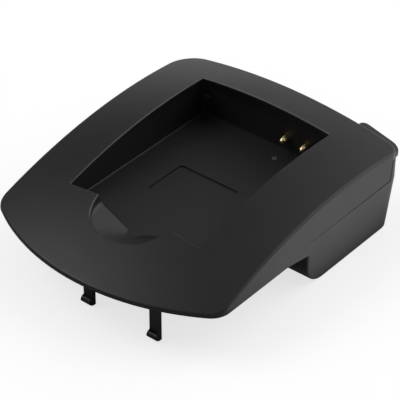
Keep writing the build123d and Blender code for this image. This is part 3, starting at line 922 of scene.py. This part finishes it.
# %% [markdown]
# ## The contact springs
#
# Behind each pin sits a coil of steel wire. Geometry Nodes has a spiral curve, and a round profile swept
# along it is the wire. A real compression spring ends in a closed turn, where the wire lies against itself,
# so a curve maps the way along the wire to the height: flat at both ends and steep between. The spiral
# climbs along Z, and a quarter turn about X lays it along the pin.

# %% Spring tree
spring_tree, spring_in, spring_out = geometry_tree(
    "contact_spring", ("Coil Radius", "Wire Diameter", "Turns", "Length")
)
coil = add_node(
    spring_tree,
    "GeometryNodeCurveSpiral",
    {
        "Resolution": 30,
        "Rotations": spring_in["Turns"],
        "Start Radius": spring_in["Coil Radius"],
        "End Radius": spring_in["Coil Radius"],
        "Height": 0.0,
    },
)
along = add_node(spring_tree, "GeometryNodeSplineParameter").outputs["Factor"]
climb = add_node(spring_tree, "ShaderNodeFloatCurve", {"Value": along})
closed_turn = (0.16, 0.08)
profile = climb.mapping.curves[0].points
profile.new(*closed_turn)
profile.new(1 - closed_turn[0], 1 - closed_turn[1])
climb.mapping.update()
rise = add_math(spring_tree, "SUBTRACT", spring_in["Length"], spring_in["Wire Diameter"])
height = add_math(spring_tree, "MULTIPLY", climb.outputs[0], rise)
half_wire = add_math(spring_tree, "MULTIPLY", spring_in["Wire Diameter"], 0.5)
lift = add_node(spring_tree, "ShaderNodeCombineXYZ", {"Z": add_math(spring_tree, "ADD", height, half_wire)})
stretched = add_node(
    spring_tree, "GeometryNodeSetPosition", {"Geometry": coil.outputs[0], "Offset": lift.outputs[0]}
)
ring = add_node(spring_tree, "GeometryNodeCurvePrimitiveCircle", {"Resolution": 12, "Radius": half_wire})
wire = add_node(
    spring_tree,
    "GeometryNodeCurveToMesh",
    {"Curve": stretched.outputs[0], "Profile Curve": ring.outputs[0], "Fill Caps": True},
)
laid = add_node(
    spring_tree,
    "GeometryNodeTransform",
    {"Geometry": wire.outputs[0], "Translation": spring_in["Place"], "Rotation": (-math.pi / 2, 0, 0)},
)
finish_tree(spring_tree, laid.outputs[0], spring_in["Finish"], spring_out, sharp_angle=math.radians(60))
print("spring tree with", len(spring_tree.nodes), "nodes")

# %% [markdown]
# Each spring takes its size and place from the box of its CAD spring, and rides on the cradle.

# %% Make the springs
wire_diameter = 0.24 * mm
for pole in poles:
    low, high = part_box(f"contact_spring_{pole}")
    centre = (low + high) / 2
    spring = bake_tree(
        f"coil_spring_{pole}",
        spring_tree,
        {
            "Coil Radius": (high.x - low.x - wire_diameter) / 2,
            "Wire Diameter": wire_diameter,
            "Turns": 6.5,
            "Length": high.y - low.y,
            "Place": (centre.x, low.y, centre.z),
            "Finish": finishes["spring_steel"],
        },
    )
    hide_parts(f"contact_spring_{pole}")
    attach(spring, "cradle")
    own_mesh(spring)

# %% [markdown]
# ## The contact pins
#
# Each pin ends in a long rounded nose, so that a battery's flat contact can slide on to it, and it has a
# shoulder inside its sleeve that keeps it from falling out. Such a turned part could be spun from an
# outline. Here a cylinder with many rings is narrowed along its length: half an ellipse makes the nose, and
# a step makes the shoulder. The pin stands up along Z first, and a quarter turn about X lays it along Y.

# %% Pin tree
pin_tree, pin_in, pin_out = geometry_tree(
    "contact_pin", ("Diameter", "Nose Length", "Shoulder Diameter", "Shoulder Length", "Length")
)
rod = add_node(
    pin_tree,
    "GeometryNodeMeshCylinder",
    {"Vertices": 48, "Side Segments": 96, "Radius": 0.5, "Depth": pin_in["Length"]},
)
across = point_axes(pin_tree)
from_tip = add_math(pin_tree, "ADD", across["Z"], add_math(pin_tree, "MULTIPLY", pin_in["Length"], 0.5))
along_nose = add_math(pin_tree, "DIVIDE", from_tip, pin_in["Nose Length"], clamp=True)
behind = add_math(pin_tree, "POWER", add_math(pin_tree, "SUBTRACT", 1.0, along_nose), 2.0)
nose = add_math(pin_tree, "SQRT", add_math(pin_tree, "SUBTRACT", 1.0, behind))
blunt_tip = 0.02
nose = add_math(pin_tree, "MAXIMUM", nose, blunt_tip)
shoulder_start = add_math(pin_tree, "SUBTRACT", pin_in["Length"], pin_in["Shoulder Length"])
on_shoulder = add_math(pin_tree, "GREATER_THAN", from_tip, shoulder_start)
growth = add_math(pin_tree, "SUBTRACT", pin_in["Shoulder Diameter"], pin_in["Diameter"])
width = add_math(pin_tree, "MULTIPLY", nose, pin_in["Diameter"])
width = add_math(pin_tree, "ADD", width, add_math(pin_tree, "MULTIPLY", on_shoulder, growth))
pin = reshape(pin_tree, rod.outputs["Mesh"], across, width, from_tip)
laid = add_node(
    pin_tree,
    "GeometryNodeTransform",
    {"Geometry": pin, "Translation": pin_in["Place"], "Rotation": (-math.pi / 2, 0, 0)},
)
finish_tree(pin_tree, laid.outputs[0], pin_in["Finish"], pin_out, sharp_angle=math.radians(40))
print("pin tree with", len(pin_tree.nodes), "nodes")

# %% [markdown]
# The CAD pin's box gives the length, the place and the diameter of the shoulder. Each pin rides on its own
# body, so it slides back when its joint moves.

# %% Make the pins
for pole in poles:
    low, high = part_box(f"contact_plunger_{pole}")
    pin = bake_tree(
        f"contact_pin_{pole}",
        pin_tree,
        {
            "Diameter": 1.9 * mm,
            "Nose Length": 2.1 * mm,
            "Shoulder Diameter": high.x - low.x,
            "Shoulder Length": 1.0 * mm,
            "Length": high.y - low.y,
            "Place": ((low.x + high.x) / 2, low.y, (low.z + high.z) / 2),
            "Finish": finishes["pin_gold"],
        },
    )
    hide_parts(f"contact_plunger_{pole}")
    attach(pin, f"plunger_{pole}")

# %% [markdown]
# ## Ejector marks
#
# When the mould opens, steel pins push the moulding out, and each leaves a faint round mark on the hidden
# side. The cover has a grid of them under the battery pocket. They are rounded discs, sunk in the plastic
# so that only a twentieth of a millimetre stands out.

# %% Ejector mark tree
ejector_tree, ejector_in, ejector_out = geometry_tree(
    "ejector_marks", ("Diameter", "Thickness", "Width", "Depth")
)
grid = add_node(
    ejector_tree,
    "GeometryNodeMeshGrid",
    {"Size X": ejector_in["Width"], "Size Y": ejector_in["Depth"], "Vertices X": 3, "Vertices Y": 2},
)
spots = add_node(
    ejector_tree, "GeometryNodeTransform", {"Geometry": grid.outputs[0], "Translation": ejector_in["Place"]}
)
mark = add_node(
    ejector_tree,
    "GeometryNodeGroup",
    {"Diameter": ejector_in["Diameter"], "Height": ejector_in["Thickness"], "Softness": 0.25},
    node_tree=disc_tree,
)
marks = add_node(
    ejector_tree, "GeometryNodeInstanceOnPoints", {"Points": spots.outputs[0], "Instance": mark.outputs[0]}
)
finish_tree(
    ejector_tree, marks.outputs[0], ejector_in["Finish"], ejector_out, sharp_angle=math.radians(50)
)
print("ejector tree with", len(ejector_tree.nodes), "nodes")

# %% [markdown]
# The grid lies on the underside of the pocket, three marks wide and two deep.

# %% Make the ejector marks
tub_underside = 11.2 * mm
mark_thickness = 0.4 * mm
mark_proud = 0.05 * mm
ejector_marks = bake_tree(
    "ejector_marks",
    ejector_tree,
    {
        "Diameter": 2.4 * mm,
        "Thickness": mark_thickness,
        "Width": 30 * mm,
        "Depth": 14 * mm,
        "Place": (0, -9 * mm, tub_underside - mark_proud + mark_thickness / 2),
        "Finish": finishes["cover_plastic"],
    },
)
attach(ejector_marks, "cradle")

# %% [markdown]
# ## Polarity signs
#
# A raised plus and a raised minus in the pocket floor tell which pin is which. Each is an outline that is
# pulled up just above the floor and narrowed a little at the top, as a mould needs. BMesh does this in a
# few lines: make a face, extrude it, and scale the new top.

# %% Make the signs
sign_arm = 0.8 * mm
sign_bar = 0.2 * mm
sign_sunk = 0.1 * mm
sign_taper = 0.93
plus_outline = (
    (sign_bar, sign_bar), (sign_bar, sign_arm), (-sign_bar, sign_arm), (-sign_bar, sign_bar),
    (-sign_arm, sign_bar), (-sign_arm, -sign_bar), (-sign_bar, -sign_bar), (-sign_bar, -sign_arm),
    (sign_bar, -sign_arm), (sign_bar, -sign_bar), (sign_arm, -sign_bar), (sign_arm, sign_bar),
)
minus_outline = ((sign_arm, sign_bar), (-sign_arm, sign_bar), (-sign_arm, -sign_bar), (sign_arm, -sign_bar))

sketch = bmesh.new()
for pole, outline in zip(poles, (plus_outline, minus_outline)):
    pin_low, pin_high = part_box(f"contact_plunger_{pole}")
    sign_centre = Vector(((pin_low.x + pin_high.x) / 2, pin_low.y - sign_gap / 2, pocket_floor.z))
    foot = [sketch.verts.new(sign_centre + Vector((x, y, -sign_sunk))) for x, y in outline]
    face = sketch.faces.new(foot)
    pulled = bmesh.ops.extrude_face_region(sketch, geom=[face])["geom"]
    for corner in (item for item in pulled if isinstance(item, bmesh.types.BMVert)):
        corner.co = sign_centre + (corner.co - sign_centre) * sign_taper
        corner.co.z = sign_centre.z + sign_height
bmesh.ops.recalc_face_normals(sketch, faces=sketch.faces)
sign_mesh = bpy.data.meshes.new("polarity_signs")
sketch.to_mesh(sign_mesh)
sketch.free()
sign_mesh.materials.append(finishes["cover_plastic"])
signs = bpy.data.objects.new("polarity_signs", sign_mesh)
scene.collection.objects.link(signs)
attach(signs, "cradle")
print("signs", len(sign_mesh.polygons), "faces")
